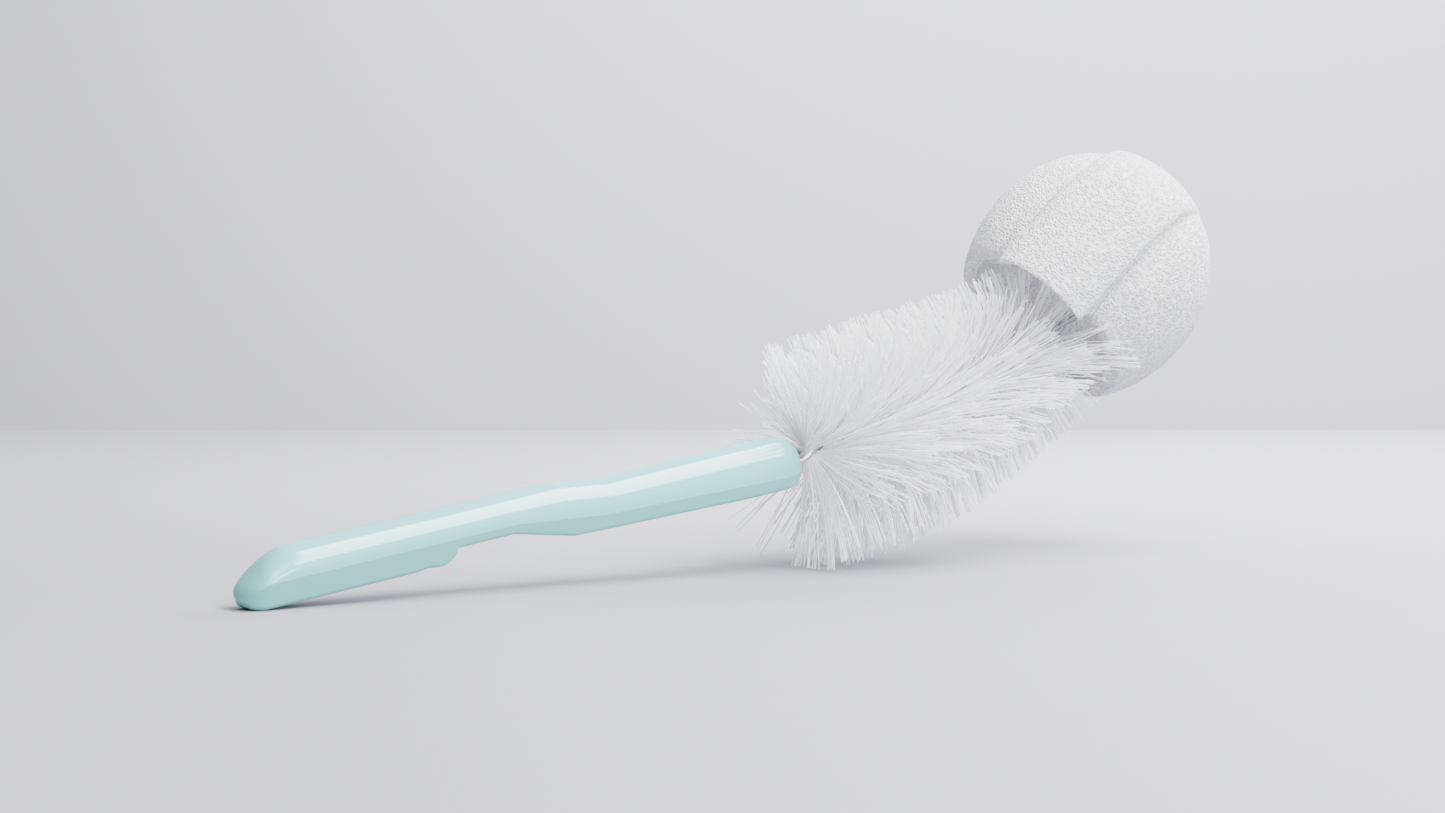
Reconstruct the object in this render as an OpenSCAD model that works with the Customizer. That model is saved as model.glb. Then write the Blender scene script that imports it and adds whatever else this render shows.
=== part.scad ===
// Bottle brush with a moulded handle, a twisted wire stem, nylon bristle caught in
// the twist and a foam sponge of four petals on the end of the wire.
//
// Every piece is made in the handle's own frame: X runs forward from the tail along
// the handle, Z is up from the flat under the tail, and Y is across. The whole brush
// is then laid down as it rests, on its tail and on the first turns of bristle.

/* [Handle] */
// Length of the handle from tail to rounded front
handle_length = 144; // [125:1:170]
// Width of the handle across its shoulder edge
handle_width = 13; // [11:0.5:16]
// Top of the rear grip
grip_top = 11.8; // [10.5:0.1:14]
// Top of the neck, in front of the waist
neck_top = 10.1; // [8.5:0.1:10.5]
// Height of the crisp shoulder edge along the grip
grip_shoulder = 5.6; // [4.5:0.1:7]
// Height of the shoulder edge where it reaches the front
neck_shoulder = 1.3; // [0.5:0.1:2.5]
// Underside of the grip ahead of the tail block
grip_underside = 3.3; // [2:0.1:4]
// How far the underside of the neck hangs below the flat under the tail
neck_drop = 1.8; // [0.5:0.1:3]
// Slope of the flats below the shoulder, from upright
bevel_angle = 22; // [10:1:28]
// Height of the tail's blunt point
nose_height = 3; // [2:0.1:4]
// Slope of the tail's upper face, rise for each millimetre
tail_slope = 0.82; // [0.5:0.02:1.2]
// Where the tail block ends under the grip
tail_block_end = 46.5; // [35:0.5:55]
// Length of the rounded lip on the end of the tail block
lip_length = 4; // [2:0.5:6]
// Depth of the finger dip under the tail block
finger_dip = 0.4; // [0:0.1:0.8]
// Where the waist facets start on top
waist_start = 78; // [70:1:85]
// Length of the waist facets
waist_length = 14; // [8:1:20]
// Length of the rounded front end
front_round = 7; // [4:0.5:10]

/* [Wire] */
// Diameter of the galvanised wire
wire_diameter = 1.5; // [1.2:0.1:2]
// Length of wire for one full turn of the twist
twist_pitch = 12.6; // [10:0.2:18]
// Thickness of the bundle of bristle pinched between the strands
pinched_thickness = 0.28; // [0.2:0.02:0.4]
// Height of the wire above the flat under the tail, where it enters the handle
stem_height = 4; // [3:0.1:5]
// Depth of the socket that the wire is moulded into
socket_depth = 30; // [15:1:45]
// Radius of the upward bend of the wire
stem_bend = 215; // [150:5:400]
// How far the strands swell apart in the eye that closes the wire's end
eye_bulge = 1.4; // [0.8:0.1:2]
// Length of the eye
eye_length = 6; // [4:0.5:8]

/* [Bristle] */
// Distance from the wire's centre to the bristle tips
bristle_reach = 27.5; // [20:0.5:34]
// Bare wire between the handle and the first bristle
bristle_start = 1.8; // [1:0.2:8]
// Length of wire that is filled with bristle
bristle_run = 76; // [40:1:90]
// Thickness of a fan of bristle at its tips
tip_thickness = 0.8; // [0.6:0.1:1.6]
// How far the first tips lean back over the handle
lean_back = 5; // [0:0.5:8]
// Length of wire over which that lean dies out
lean_run = 30; // [15:1:60]
// How far the tips are pressed up where the brush stands on them
tip_press = 1.6; // [0.6:0.1:2.4]
// Share of the reach that the last tips keep beside the sponge
last_share = 0.8; // [0.6:0.02:1]
// How far the upper petal presses the last tips in
petal_press = 2.8; // [2:0.1:4]
// Unevenness of the trimmed tips
trim_step = 1.1; // [0:0.1:2]

/* [Sponge] */
// Widest radius of the sponge at the middle of its petals
sponge_radius = 29; // [24:0.5:34]
// Length of the rounded end of the sponge, from its widest place
sponge_dome = 31; // [24:0.5:36]
// Length of the petals behind the widest place
petal_length = 19.5; // [14:0.5:24]
// Radius at the free ends of the petals
petal_end_radius = 23.8; // [20:0.2:28]
// Length of the upper narrow petal, which is folded further back than the others
upper_petal_length = 26; // [20:0.5:27]
// Radius at the free end of the upper narrow petal
upper_petal_end_radius = 26; // [25:0.2:28]
// How far the upper narrow petal stands proud of its neighbours
upper_petal_rise = 2; // [0:0.1:2]
// Thickness of the foam
foam_thickness = 5.2; // [4:0.2:8]
// Thickness of the foam at the end, where it holds the wire
foam_end_thickness = 9.6; // [8:0.2:13]
// Foam left over the end of the wire
foam_cover = 3; // [2:0.5:5]
// Width of the two narrow petals
narrow_petal_width = 26; // [20:0.5:32]
// Direction that the upper narrow petal faces, from straight up towards the near side
petal_turn = 46; // [0:1:90]
// Depth of the rounded valleys along the edges of the petals
valley_depth = 4; // [1:0.5:5]
// How far the edges of the upper narrow petal are rounded down
upper_edge_drop = 1.5; // [0:0.1:2]
// Width of the slits between the petals
slit_width = 1.2; // [0.6:0.1:2]
// Length of the slits, from the free ends of the shorter petals
slit_length = 21; // [14:1:26]
// How far the sponge sits above the line of the wire
sponge_lift = 5; // [0:0.5:6]
// How far the sponge sits to the side of the line of the wire
sponge_shift = 1.5; // [0:0.5:3]
// How much steeper the sponge stands than the wire at its middle
sponge_cock = 2.5; // [0:0.5:5]

/* [Fits] */
// Gap between the bundle of bristle and each strand
strand_clearance = 0.15; // [0.1:0.05:0.3]
// Gap round the wire in the handle's socket
socket_clearance = 0.1; // [0.05:0.05:0.2]
// Gap between the foam and the wire in its pocket
foam_clearance = 0.35; // [0.3:0.05:0.6]
// Gap along the wire between the last bristle and the petals' free ends
petal_gap = 3; // [2:0.1:6]

/* [Hidden] */
// mesh fineness
arch_steps = 18;
corner_steps = 3;
station_gap = 7;
dome_steps = 7;
wire_sides = 6;
rings_per_turn = 8;
eye_steps = 10;
fan_steps = 15;
petal_steps = 8;
profile_steps = 14;
round_fn = 48;

// handle
half_width = handle_width / 2;
nose_run = 1.5 * nose_height;
nose_plan_run = 6;
nose_crest = 1.2;
nose_crest_run = 2;
shoulder_run = 6;
shoulder_power = 1.6;
tail_blend = 3;
tail_top_end = (grip_top - nose_height) / tail_slope;
dip_centre = tail_block_end - 3;
dip_half_length = 2.6;
neck_step = 15.5;
waist_end = waist_start + waist_length;
shoulder_break = waist_start - 13;
shoulder_knee = waist_end - 4;
shoulder_knee_height = 3;
step_start = shoulder_break;
step_end = step_start + neck_step;
step_height = -0.45;
front_break = handle_length - 16;
front_power = 2.3;
corner_radius = 1.1;
tiny = 0.02;

// wire
wire_radius = wire_diameter / 2;
strand_offset = wire_radius + pinched_thickness / 2 + strand_clearance;
socket_radius = strand_offset + wire_radius + socket_clearance;
wire_inner_end = -(socket_depth - 1);

// bristle
half_pitch = twist_pitch / 2;
turn_count = floor(bristle_run / half_pitch);
turn_gap_angle = 12;
core_radius = strand_offset + wire_radius + strand_clearance;
bristle_end = bristle_start + turn_count * half_pitch;
shrink_run = 52;
shrink_start = bristle_end - shrink_run;

// sponge, placed so that the petals' free ends stand close behind the last bristle
sponge_middle = bristle_end + petal_gap + petal_length;
eye_start = sponge_middle + sponge_dome - foam_cover - wire_radius - eye_length;
petal_back_axis = petal_length / sqrt(1 - pow(petal_end_radius / sponge_radius, 2));
petal_end_angle = 90 + asin(petal_length / petal_back_axis);
widest_petal_half = 62;
valley_power = 4;
valley_rise = 75;
inner_relief = 0.3;
upper_opening = (sponge_radius - upper_petal_end_radius) / (sponge_radius - petal_end_radius);
press_run = 11;
press_turn = 70;
pocket_radius = strand_offset + eye_bulge / 2 + wire_radius + foam_clearance;
pocket_lead = 8;

// ---- shared shapes ---------------------------------------------------------

function unit(v) = v / norm(v);
function mix(a, b, share) = a + (b - a) * share;
function clamp01(x) = max(0, min(1, x));
function soft_step(x) = let (t = clamp01(x)) t * t * (3 - 2 * t);
// rises from 0 to 1 like a quarter of an ellipse
function quarter(x) = sqrt(1 - pow(1 - clamp01(x), 2));
// the lower of two lines, with a rounded meeting
function soft_min(a, b, width) =
  let (h = max(width - abs(a - b), 0) / width)
  min(a, b) - h * h * width / 4;
// even steps between neighbouring marks, none longer than the gap
function fill(marks, gap) = [
  for (i = [0 : len(marks) - 2])
    let (count = ceil((marks[i + 1] - marks[i]) / gap))
    for (k = [0 : count - 1]) mix(marks[i], marks[i + 1], k / count),
  marks[len(marks) - 1]
];

// A solid through closed rings of equally many points, capped at both ends
module loft(rings) {
  sides = len(rings[0]);
  last = len(rings) - 1;
  polyhedron(
    points = [for (ring = rings) each ring],
    faces = concat(
      [[for (k = [sides - 1 : -1 : 0]) k]],
      [[for (k = [0 : sides - 1]) last * sides + k]],
      [for (i = [0 : last - 1], k = [0 : sides - 1], second = [false, true])
        let (a = i * sides + k, b = i * sides + (k + 1) % sides)
        second ? [b, b + sides, a + sides] : [a, b, a + sides]]
    )
  );
}

// ---- the wire's line -------------------------------------------------------

// angle of the wire at a distance along it from the handle's front
function stem_angle(s) = s > 0 ? s / stem_bend * 180 / PI : 0;
function stem_point(s) = s > 0
  ? [handle_length + stem_bend * sin(stem_angle(s)), 0,
     stem_height + stem_bend * (1 - cos(stem_angle(s)))]
  : [handle_length + s, 0, stem_height];
function ahead(s) = [cos(stem_angle(s)), 0, sin(stem_angle(s))];
function upward(s) = [-sin(stem_angle(s)), 0, cos(stem_angle(s))];
// directions round the wire: towards the first strand, and across the strands
function twist(s) = 360 * s / twist_pitch;
function strand_way(s) = cos(twist(s)) * upward(s) + sin(twist(s)) * [0, 1, 0];
function bristle_way(s) = -sin(twist(s)) * upward(s) + cos(twist(s)) * [0, 1, 0];

// ---- how the brush rests ---------------------------------------------------

// lean of a tip at a distance along the wire and a distance from it
function lean(s, r) =
  -lean_back * pow(max(0, 1 - s / lean_run), 2) * pow(abs(r) / bristle_reach, 2);
foot_s = bristle_start + half_pitch / 2;
foot_x = stem_point(foot_s).x + bristle_reach * sin(stem_angle(foot_s))
  + lean(foot_s, bristle_reach);
foot_z = stem_point(foot_s).z - bristle_reach * cos(stem_angle(foot_s)) + tip_press;
tilt = atan(-foot_z / (foot_x - nose_run));
// the tail stands on its rounded nose
lift = norm([nose_run * sin(tilt), nose_height * cos(tilt)])
  - nose_run * sin(tilt) - nose_height * cos(tilt);
function height(p) = p.x * sin(tilt) + p.z * cos(tilt) + lift;
function forward(p) = p.x * cos(tilt) - p.z * sin(tilt);
rear_end = forward([0, 0, nose_height]);
function front_end() = max([for (ring = sponge_outside) for (p = ring) forward(p)]);

module at_rest() {
  translate([-(rear_end + front_end()) / 2, -sponge_shift, lift])
    rotate([0, -tilt, 0])
      children();
}

// ---- handle ----------------------------------------------------------------

function top_line(x) = soft_min(
  nose_height + tail_slope * x + nose_crest * quarter(x / nose_crest_run),
  lookup(x, [[waist_start, grip_top], [waist_end, neck_top]]),
  tail_blend
);
function shoulder_line(x) = min(
  nose_height + (grip_shoulder - nose_height) * (1 - pow(1 - clamp01(x / shoulder_run), shoulder_power)),
  lookup(x, [
    [shoulder_break, grip_shoulder],
    [shoulder_knee, shoulder_knee_height],
    [handle_length - front_round, neck_shoulder]
  ])
);
function tail_underside(x) =
  nose_height * (1 - quarter(x / nose_run))
  + finger_dip * soft_step(1 - abs(x - dip_centre) / dip_half_length);
function neck_underside(x) = lookup(x, [
  [step_start, grip_underside],
  [step_end, step_height],
  [front_break, -neck_drop]
]);
function underside(x) = x < tail_block_end
  ? tail_underside(x)
  : min(
      grip_underside * (1 - quarter(1 - clamp01((x - tail_block_end) / lip_length))),
      neck_underside(x)
    );
// half width: the tail narrows to its nose in plan
function plan_half(x) = half_width * quarter(x / nose_plan_run);
// everything shrinks towards this line at the rounded front
function front_share(x) =
  let (t = clamp01((x - (handle_length - front_round)) / front_round))
  pow(1 - pow(t, front_power), 1 / front_power);
front_centre = (neck_top - neck_drop) / 2;

// one cross-section: an arch above the shoulder, flats leaning in below it,
// and a flat underside with small round corners
function handle_section(x) =
  let (
    wide = plan_half(x),
    shoulder = shoulder_line(x),
    top = top_line(x),
    base = underside(x),
    foot = max(wide - (shoulder - base) * tan(bevel_angle), wide / 2),
    corner = min(corner_radius, foot / 2, (shoulder - base) / 2),
    flat = unit([wide - foot, shoulder - base]),
    share = front_share(x),
    half = concat(
      [for (i = [0 : arch_steps / 2])
        let (a = 90 - 180 * i / arch_steps)
        [wide * cos(a), shoulder + (top - shoulder) * sin(a)]],
      [for (i = [0 : corner_steps])
        let (
          t = i / corner_steps,
          from = [foot, base] + corner * flat,
          to = [foot - corner, base]
        )
        (1 - t) * (1 - t) * from + 2 * t * (1 - t) * [foot, base] + t * t * to]
    ),
    last = len(half) - 1
  )
  [for (i = [0 : 2 * last])
    let (p = i <= last ? half[i] : [-half[2 * last - i + 1].x, half[2 * last - i + 1].y])
    [x, p.x * share, front_centre + (p.y - front_centre) * share]];

handle_marks = concat(
  [for (i = [0 : dome_steps]) tiny + nose_plan_run * (1 - cos(90 * i / dome_steps))],
  [
    tail_top_end - tail_blend / 2,
    tail_top_end + tail_blend / 4,
    dip_centre - dip_half_length,
    dip_centre,
    dip_centre + dip_half_length
  ],
  [for (i = [0 : dome_steps]) tail_block_end + lip_length * sin(90 * i / dome_steps)],
  [
    shoulder_break, waist_start, step_end, shoulder_knee, waist_end, front_break
  ],
  [for (i = [0 : dome_steps])
    handle_length - tiny - (front_round - tiny) * (1 - sin(90 * i / dome_steps))]
);

module handle() {
  color("#cdecea")
    at_rest()
      difference() {
        loft([for (x = fill(handle_marks, station_gap)) handle_section(x)]);
        translate([handle_length - socket_depth, 0, stem_height])
          rotate([0, 90, 0])
            cylinder(r = socket_radius, h = socket_depth + 1, $fn = round_fn);
      }
}

// ---- twisted wire ----------------------------------------------------------

// the middle of one strand, side 1 or -1
function strand_point(s, side) = stem_point(s) + side * strand_offset * strand_way(s);
// the eye opens out past the last twist and closes over the end
function eye_point(a) =
  stem_point(eye_start)
  + eye_length * sin(a) * ahead(eye_start)
  + cos(a) * (strand_offset + eye_bulge * sin(a)) * strand_way(eye_start);
function around(s) = cross(ahead(s), strand_way(s));

strand_steps = round((eye_start - wire_inner_end) / twist_pitch * rings_per_turn);
strand_places = [for (i = [0 : strand_steps]) mix(wire_inner_end, eye_start, i / strand_steps)];
// each entry is a point on the wire's middle line and a direction square to the wire
hairpin = concat(
  [for (s = strand_places) [strand_point(s, 1), around(s)]],
  [for (i = [1 : eye_steps - 1]) [eye_point(180 * i / eye_steps), around(eye_start)]],
  [for (i = [strand_steps : -1 : 0]) [strand_point(strand_places[i], -1), around(strand_places[i])]]
);

function wire_ring(i) =
  let (
    before = hairpin[max(i - 1, 0)][0],
    after = hairpin[min(i + 1, len(hairpin) - 1)][0],
    along = unit(after - before),
    guess = hairpin[i][1],
    side = unit(guess - (guess * along) * along),
    other = cross(along, side)
  )
  [for (k = [0 : wire_sides - 1])
    let (a = 360 * k / wire_sides)
    hairpin[i][0] + wire_radius * (cos(a) * side + sin(a) * other)];

module twisted_wire() {
  color("#a9adb0")
    at_rest()
      loft([for (i = [0 : len(hairpin) - 1]) wire_ring(i)]);
}

// ---- bristle ---------------------------------------------------------------

// how far the tips reach at a place along the wire, without the ground
function free_reach(s) =
  bristle_reach * mix(1, last_share, soft_step((s - shrink_start) / (bristle_end - shrink_start)));
// the upper petal presses in the last tips that point at its lower edge
function petal_squeeze(s, side) =
  let (edge_way = cos(press_turn) * upward(s) - sin(press_turn) * [0, 1, 0])
  petal_press * soft_step((s - bristle_end + press_run) / press_run)
    * pow(max(0, side * (bristle_way(s) * edge_way)), 2);
// the ground presses the lowest tips up
function reach(s, side) =
  let (
    fall = -side * (bristle_way(s).x * sin(tilt) + bristle_way(s).z * cos(tilt)),
    tip_height = height(stem_point(s) + lean(s, bristle_reach) * ahead(s)),
    free = free_reach(s) - petal_squeeze(s, side)
  )
  fall > 0.1 ? min(free, tip_height / fall) : free;

// stations across one fan, from tip through the wire to the other tip
across = [-1, -0.72, -0.4, -core_radius / bristle_reach, core_radius / bristle_reach, 0.4, 0.72, 1];

function fan_half_thickness(r) =
  let (share = clamp01((abs(r) - core_radius) / (bristle_reach - core_radius)))
  mix(pinched_thickness, tip_thickness, share) / 2;

// one point of the twisted fan's face; face is 1 or -1
function fan_point(s, share, trim, face) =
  let (
    side = share < 0 ? -1 : 1,
    r = abs(share) == 1 ? side * (reach(s, side) - trim) : share * reach(s, side),
    square = -unit(twist_pitch / (2 * PI) * around(s) + r * ahead(s))
  )
  stem_point(s) + r * bristle_way(s) + lean(s, r) * ahead(s)
    + face * fan_half_thickness(r) * square;

// A fan twisted through half a turn, pinched between the strands at its middle
module bristle_turn(number) {
  start_angle = turn_gap_angle / 2;
  places = [for (j = [0 : fan_steps])
    bristle_start + (number - 1) * half_pitch
      + half_pitch * mix(start_angle, 180 - start_angle, j / fan_steps) / 180];
  columns = len(across);
  sheet = (fan_steps + 1) * columns;
  function at(j, k, face) = j * columns + k + (face > 0 ? 0 : sheet);
  color("#f1f3f6")
    at_rest()
      polyhedron(
        points = [for (face = [1, -1], j = [0 : fan_steps], k = [0 : columns - 1])
          fan_point(places[j], across[k], trim_step * (j % 2), face)],
        faces = concat(
          [for (j = [0 : fan_steps - 1], k = [0 : columns - 2]) each [
            [at(j, k, 1), at(j, k + 1, 1), at(j + 1, k, 1)],
            [at(j + 1, k, 1), at(j, k + 1, 1), at(j + 1, k + 1, 1)],
            [at(j, k, -1), at(j + 1, k, -1), at(j, k + 1, -1)],
            [at(j + 1, k, -1), at(j + 1, k + 1, -1), at(j, k + 1, -1)]
          ]],
          [for (k = [0 : columns - 2]) each [
            [at(0, k, 1), at(0, k, -1), at(0, k + 1, 1)],
            [at(0, k + 1, 1), at(0, k, -1), at(0, k + 1, -1)],
            [at(fan_steps, k, 1), at(fan_steps, k + 1, 1), at(fan_steps, k, -1)],
            [at(fan_steps, k, -1), at(fan_steps, k + 1, 1), at(fan_steps, k + 1, -1)]
          ]],
          [for (j = [0 : fan_steps - 1]) each [
            [at(j, 0, 1), at(j + 1, 0, 1), at(j, 0, -1)],
            [at(j, 0, -1), at(j + 1, 0, 1), at(j + 1, 0, -1)],
            [at(j, columns - 1, 1), at(j, columns - 1, -1), at(j + 1, columns - 1, 1)],
            [at(j + 1, columns - 1, 1), at(j, columns - 1, -1), at(j + 1, columns - 1, -1)]
          ]]
        )
      );
}

function turn_name(number) = str("bristle_turn_", number < 10 ? "0" : "", number);

// ---- sponge ----------------------------------------------------------------

sponge_angle = stem_angle(sponge_middle) + sponge_cock;
sponge_ahead = [cos(sponge_angle), 0, sin(sponge_angle)];
sponge_up = [-sin(sponge_angle), 0, cos(sponge_angle)];
sponge_centre = stem_point(sponge_middle) + sponge_lift * sponge_up + [0, sponge_shift, 0];

// petals 0 and 2 are narrow and parallel sided, 1 and 3 fill the space between them;
// petal 0 is the upper one, which is longer, stands proud and opens wider at its end
function back_axis(petal) =
  petal_back_axis * (petal == 0 ? upper_petal_length / petal_length : 1);
// share of the widest radius at a place along the profile
function round_share(petal, along) =
  along < 90 ? sin(along) : 1 - (petal == 0 ? upper_opening : 1) * (1 - sin(along));
// rise of the skin over the plain round shape: valleys dip along the petals' edges
function relief(petal, along, across) =
  let (
    valley = petal == 0 ? upper_edge_drop : valley_depth,
    crown = petal == 0 ? upper_petal_rise : 0
  )
  (crown - valley * pow(abs(across), valley_power)) * soft_step(along / valley_rise);
// half the turn that a petal takes up
function narrow_half(petal, along) =
  let (half_share = narrow_petal_width / 2 / (sponge_radius * round_share(petal, along)))
  min(widest_petal_half, asin(min(1, half_share)));
function petal_half(petal, along) =
  petal % 2 == 0 ? narrow_half(petal, along) : 90 - narrow_half(petal, along);

// a point of the sponge's skin: along is 0 at the far end and petal_end_angle at the
// petals' ends, across is -1 to 1 over a petal, depth and end_depth are under the skin
function sponge_point(along, petal, across, depth, end_depth) =
  let (
    ahead_axis = sponge_dome - end_depth,
    turn = -petal_turn + 90 * petal + across * petal_half(petal, along),
    rise = relief(petal, along, across) * (depth > 0 ? inner_relief : 1),
    run = (along < 90 ? ahead_axis : back_axis(petal)) * cos(along),
    out = (sponge_radius - depth + rise) * round_share(petal, along)
  )
  sponge_centre + run * sponge_ahead
    + out * (cos(turn) * sponge_up + sin(turn) * [0, 1, 0]);

function sponge_ring(along, depth, end_depth) = [
  for (petal = [0 : 3], i = [0 : petal_steps - 1])
    sponge_point(along, petal, -cos(180 * (i + 0.5) / petal_steps), depth, end_depth)
];
sponge_rows = [for (i = [1 : profile_steps]) petal_end_angle * i / profile_steps];
sponge_outside = [for (along = sponge_rows) sponge_ring(along, 0, 0)];
sponge_inside = [for (i = [profile_steps - 1 : -1 : 0])
  sponge_ring(sponge_rows[i], foam_thickness, foam_end_thickness)];

module foam_cup() {
  rings = concat(sponge_outside, sponge_inside);
  sides = len(rings[0]);
  last = len(rings) - 1;
  crown = len(rings) * sides;
  polyhedron(
    points = concat(
      [for (ring = rings) each ring],
      [
        sponge_centre + sponge_dome * sponge_ahead,
        sponge_centre + (sponge_dome - foam_end_thickness) * sponge_ahead
      ]
    ),
    faces = concat(
      [for (k = [0 : sides - 1]) [crown, k, (k + 1) % sides]],
      [for (i = [0 : last - 1], k = [0 : sides - 1], second = [false, true])
        let (a = i * sides + k, b = i * sides + (k + 1) % sides)
        second ? [b, a + sides, b + sides] : [a, a + sides, b]],
      [for (k = [0 : sides - 1]) [crown + 1, last * sides + (k + 1) % sides, last * sides + k]]
    )
  );
}

// The slit down one side of both narrow petals, round at its inner end
module slit() {
  reach = sponge_radius + 5;
  inner_end = slit_length - petal_length;
  translate([0, 0, -reach])
    linear_extrude(height = 2 * reach)
      union() {
        translate([-upper_petal_length - 1, -slit_width / 2])
          square([upper_petal_length + 1 + inner_end, slit_width]);
        translate([inner_end, 0])
          circle(d = slit_width, $fn = 24);
      }
}

module sponge() {
  color("#f4f4f6")
    at_rest()
      difference() {
        foam_cup();
        translate(sponge_centre)
          rotate([0, -sponge_angle, 0])
            rotate([petal_turn, 0, 0])
              for (side = [-1, 1])
                translate([0, side * narrow_petal_width / 2, 0])
                  slit();
        translate(stem_point(eye_start) - pocket_lead * ahead(eye_start))
          rotate([0, 90 - stem_angle(eye_start), 0])
            cylinder(
              r = pocket_radius,
              h = pocket_lead + eye_length + wire_radius + foam_clearance,
              $fn = round_fn
            );
      }
}

// ---- assembly --------------------------------------------------------------

handle();
twisted_wire();
for (number = [1 : turn_count])
  bristle_turn(number);
sponge();
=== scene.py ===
"""Bottle brush: a moulded grip, a twisted wire, nylon bristle and a folded foam sponge.

Every piece is shaped in the grip's own frame, in millimetres: X runs forward from the tail,
Y across to the far side, Z up from the flat under the tail. Rest.place() then lays it down,
in metres. A distance s runs along the wire from the grip's front. A turn about the wire
starts at up and grows towards the far side. The classes follow the brush from its tail.
"""

import logging
import math
from dataclasses import dataclass
from enum import Enum
from functools import cache, cached_property
from typing import Callable, Sequence

import bmesh
import bpy
import numpy as np
from mathutils import Matrix, Vector


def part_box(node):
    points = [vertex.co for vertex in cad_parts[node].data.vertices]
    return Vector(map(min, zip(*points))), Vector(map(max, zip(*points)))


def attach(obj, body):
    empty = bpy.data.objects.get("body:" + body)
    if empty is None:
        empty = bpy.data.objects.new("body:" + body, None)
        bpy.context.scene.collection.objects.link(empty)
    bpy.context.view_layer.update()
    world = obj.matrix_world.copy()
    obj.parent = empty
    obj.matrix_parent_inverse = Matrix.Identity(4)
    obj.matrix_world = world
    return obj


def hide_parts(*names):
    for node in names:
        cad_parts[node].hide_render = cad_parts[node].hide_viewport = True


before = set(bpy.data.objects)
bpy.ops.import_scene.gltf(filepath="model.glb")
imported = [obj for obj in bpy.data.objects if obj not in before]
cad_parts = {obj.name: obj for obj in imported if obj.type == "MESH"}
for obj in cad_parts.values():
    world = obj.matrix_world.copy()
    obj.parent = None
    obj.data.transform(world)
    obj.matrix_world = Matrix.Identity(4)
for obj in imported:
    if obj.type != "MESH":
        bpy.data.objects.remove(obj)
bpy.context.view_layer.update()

log = logging.getLogger("bottle_brush")
logging.basicConfig(level=logging.INFO, format="%(name)s: %(message)s")

Array = np.ndarray
Piece = bpy.types.Object
Node = bpy.types.Node
Tree = bpy.types.NodeTree
Pair = tuple[float, float]
Triple = tuple[float, float, float]
Values = dict[str | int, object]

MM = 0.001
BODY = "root"
TINY = 1e-6
SIDE = np.array([0.0, 1.0, 0.0])  # the far side


# ---- small helpers ----------------------------------------------------------


def soft_step(x: Array | float) -> Array | float:
    """Return a smooth ramp from 0 to 1, flat beyond them."""
    t = np.clip(x, 0.0, 1.0)
    return t * t * (3.0 - 2.0 * t)


def quarter(x: Array | float) -> Array | float:
    """Return a rise from 0 to 1 shaped like a quarter of an ellipse."""
    return np.sqrt(1.0 - (1.0 - np.clip(x, 0.0, 1.0)) ** 2)


def soft_min(a: Array, b: Array, width: float) -> Array:
    """Return the lower of two lines, their meeting rounded over a width."""
    h = np.maximum(width - np.abs(a - b), 0.0) / width
    return np.minimum(a, b) - h * h * width / 4.0


def lookup(x: Array, table: Sequence[Pair]) -> Array:
    """Read a line of straight stretches at x, from its corners as (place, value)."""
    places, values = zip(*table)
    return np.interp(x, places, values)


def within(turn: Array, span: float) -> Array:
    """Return turns brought to within half a span of zero."""
    return (turn + span / 2) % span - span / 2


def deselect_all() -> None:
    """Leave object mode with nothing selected."""
    if bpy.context.object and bpy.context.object.mode != "OBJECT":
        bpy.ops.object.mode_set(mode="OBJECT")
    bpy.ops.object.select_all(action="DESELECT")


def make_active(piece: Piece) -> None:
    """Select one piece alone and make it the active one.

    Args:
        piece: The piece to work on.
    """
    deselect_all()
    piece.select_set(True)
    bpy.context.view_layer.objects.active = piece


def smooth_below(piece: Piece, degrees: float) -> None:
    """Shade a piece smooth, save where its faces meet at more than an angle."""
    make_active(piece)
    bpy.ops.object.shade_smooth_by_angle(angle=math.radians(degrees))


def add_modifier(piece: Piece, kind: str, **settings: object) -> None:
    """Add one modifier to a piece and apply it.

    Args:
        piece: The piece to change.
        kind: The modifier's type.
        settings: The modifier's own values.
    """
    modifier = piece.modifiers.new(kind.lower(), kind)
    for key, value in settings.items():
        setattr(modifier, key, value)
    make_active(piece)
    bpy.ops.object.modifier_apply(modifier=modifier.name)


def edit(piece: Piece, *steps: Callable[[], object]) -> None:
    """Run operators in edit mode, each with the whole piece selected.

    Args:
        piece: The piece to work on.
        steps: The operators, as calls.
    """
    make_active(piece)
    bpy.ops.object.mode_set(mode="EDIT")
    for step in steps:
        bpy.ops.mesh.select_all(action="SELECT")
        step()
    bpy.ops.object.mode_set(mode="OBJECT")


def close_up(piece: Piece) -> None:
    """Merge a piece's doubled points, then turn every face outwards.

    Args:
        piece: The piece to close.
    """
    edit(
        piece,
        lambda: bpy.ops.mesh.remove_doubles(threshold=TINY),
        lambda: bpy.ops.mesh.normals_make_consistent(inside=False),
    )


def wrapped_grid(
    name: str, rows: int, columns: int, place: Callable[[Array, Array], Array]
) -> Piece:
    """Wrap a flat grid into a tube and lay it over a form.

    Args:
        name: Name of the new piece.
        rows: Rings along the form.
        columns: Faces round each ring.
        place: Gives the world points for ring numbers and column numbers.

    Returns:
        A closed mesh, as its first and last rings shrink to a point or meet.
    """
    deselect_all()
    bpy.ops.mesh.primitive_grid_add(x_subdivisions=rows - 1, y_subdivisions=columns, size=2.0)
    piece = bpy.context.object
    piece.name = piece.data.name = name
    flat = np.empty(len(piece.data.vertices) * 3)
    piece.data.vertices.foreach_get("co", flat)
    spots = (flat.reshape(-1, 3)[:, :2] + 1.0) / 2.0 * (rows - 1, columns)
    ring, column = np.rint(spots).astype(int).T
    piece.data.vertices.foreach_set("co", place(ring, column % columns).ravel())
    close_up(piece)
    return piece


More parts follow.
